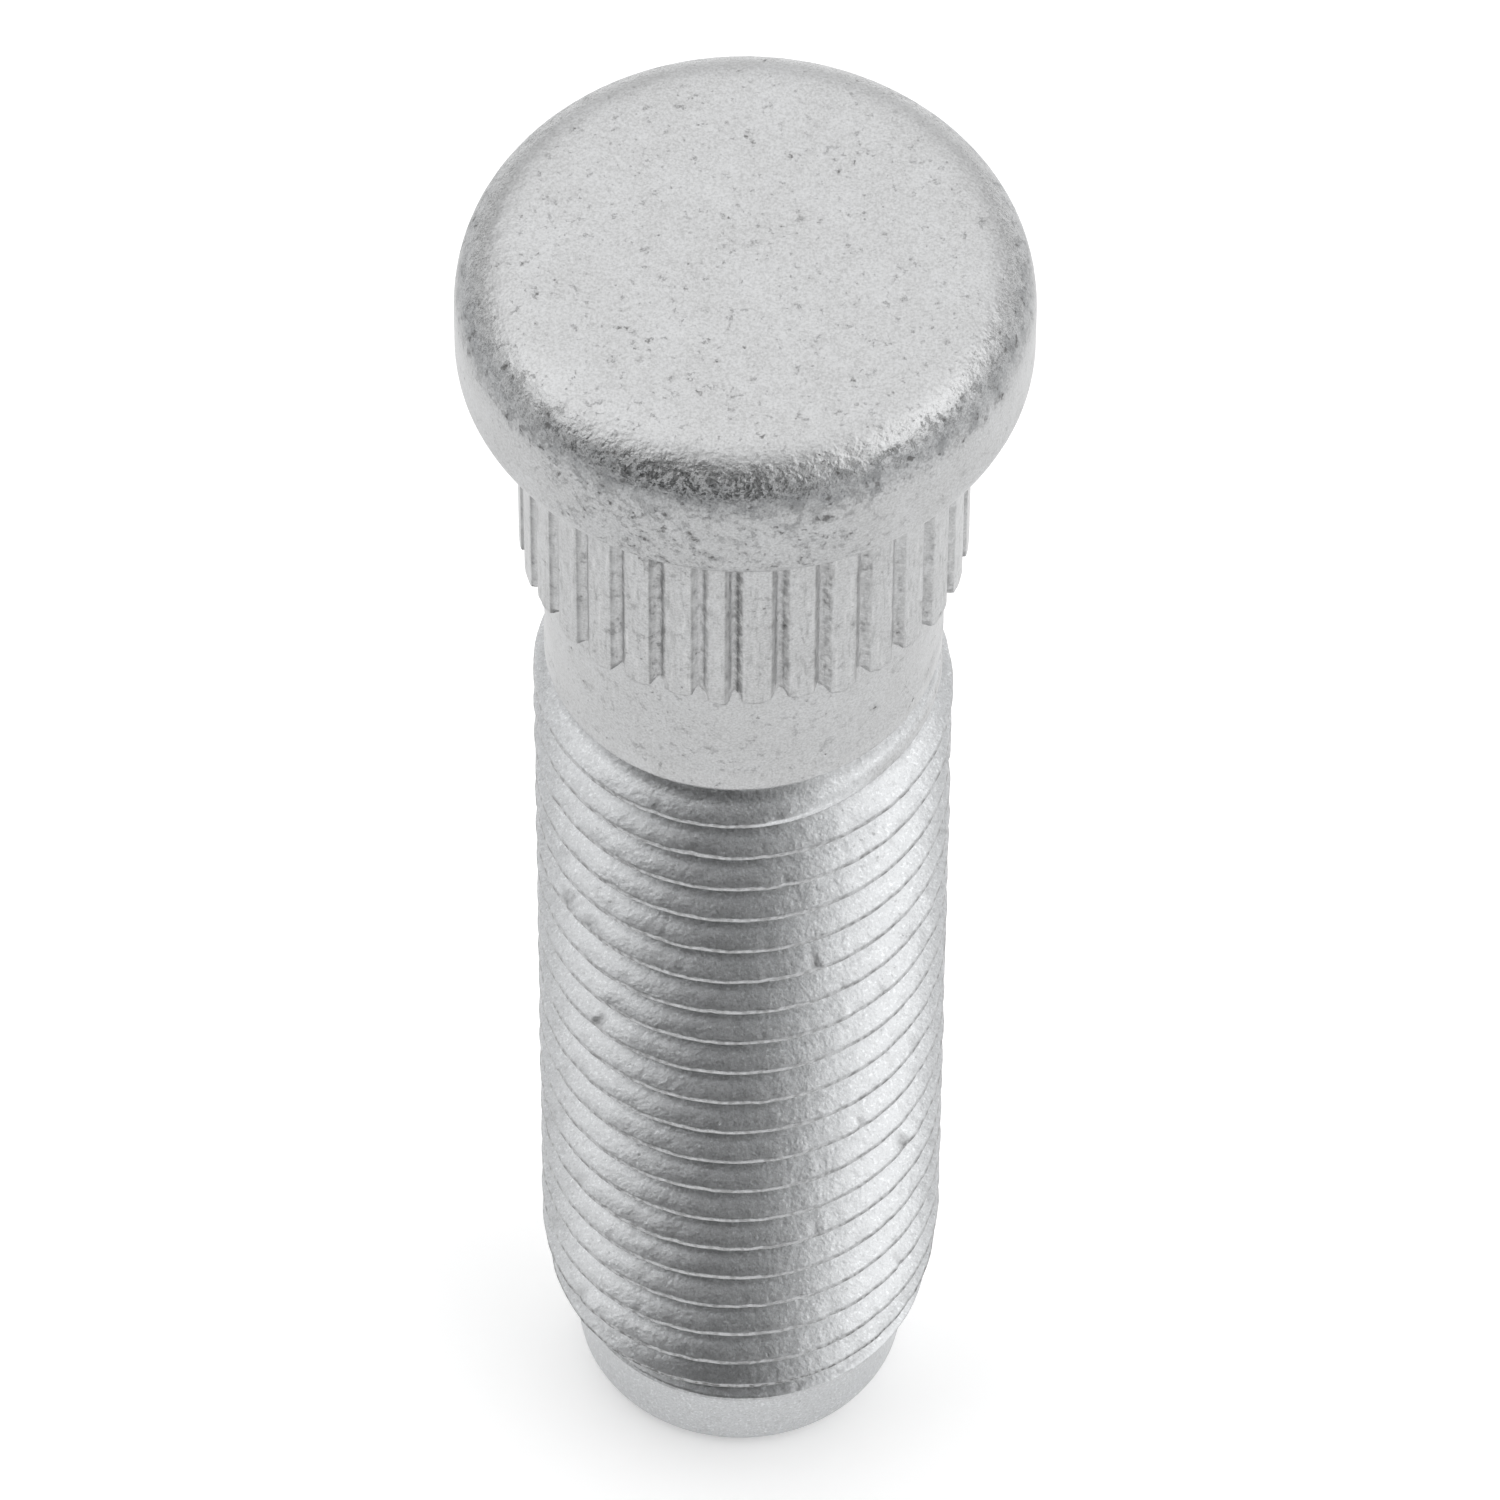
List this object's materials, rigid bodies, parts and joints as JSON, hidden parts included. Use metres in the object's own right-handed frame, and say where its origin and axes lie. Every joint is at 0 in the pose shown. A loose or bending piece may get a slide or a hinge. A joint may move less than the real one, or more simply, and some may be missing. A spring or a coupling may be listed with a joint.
{
  "type": "wheel stud",
  "caption": "Press-in wheel stud: a flat round head over a serrated shank, a plain neck and a metric fine thread that ends in a short plain point.",
  "frame": {"origin": "centre of the flat end of the point, where the stud stands", "axes": "+Z along the stud's axis, from the point up to the head; +X and +Y are square to it"},
  "size_m": [0.0158, 0.0158, 0.0512],
  "materials": {
    "zinc_flake_steel": "matt silver zinc-flake coat over forged steel, fine speckle and small pits"
  },
  "bodies": {
    "root": {"wheel_stud": "zinc_flake_steel"}
  },
  "joints": []
}
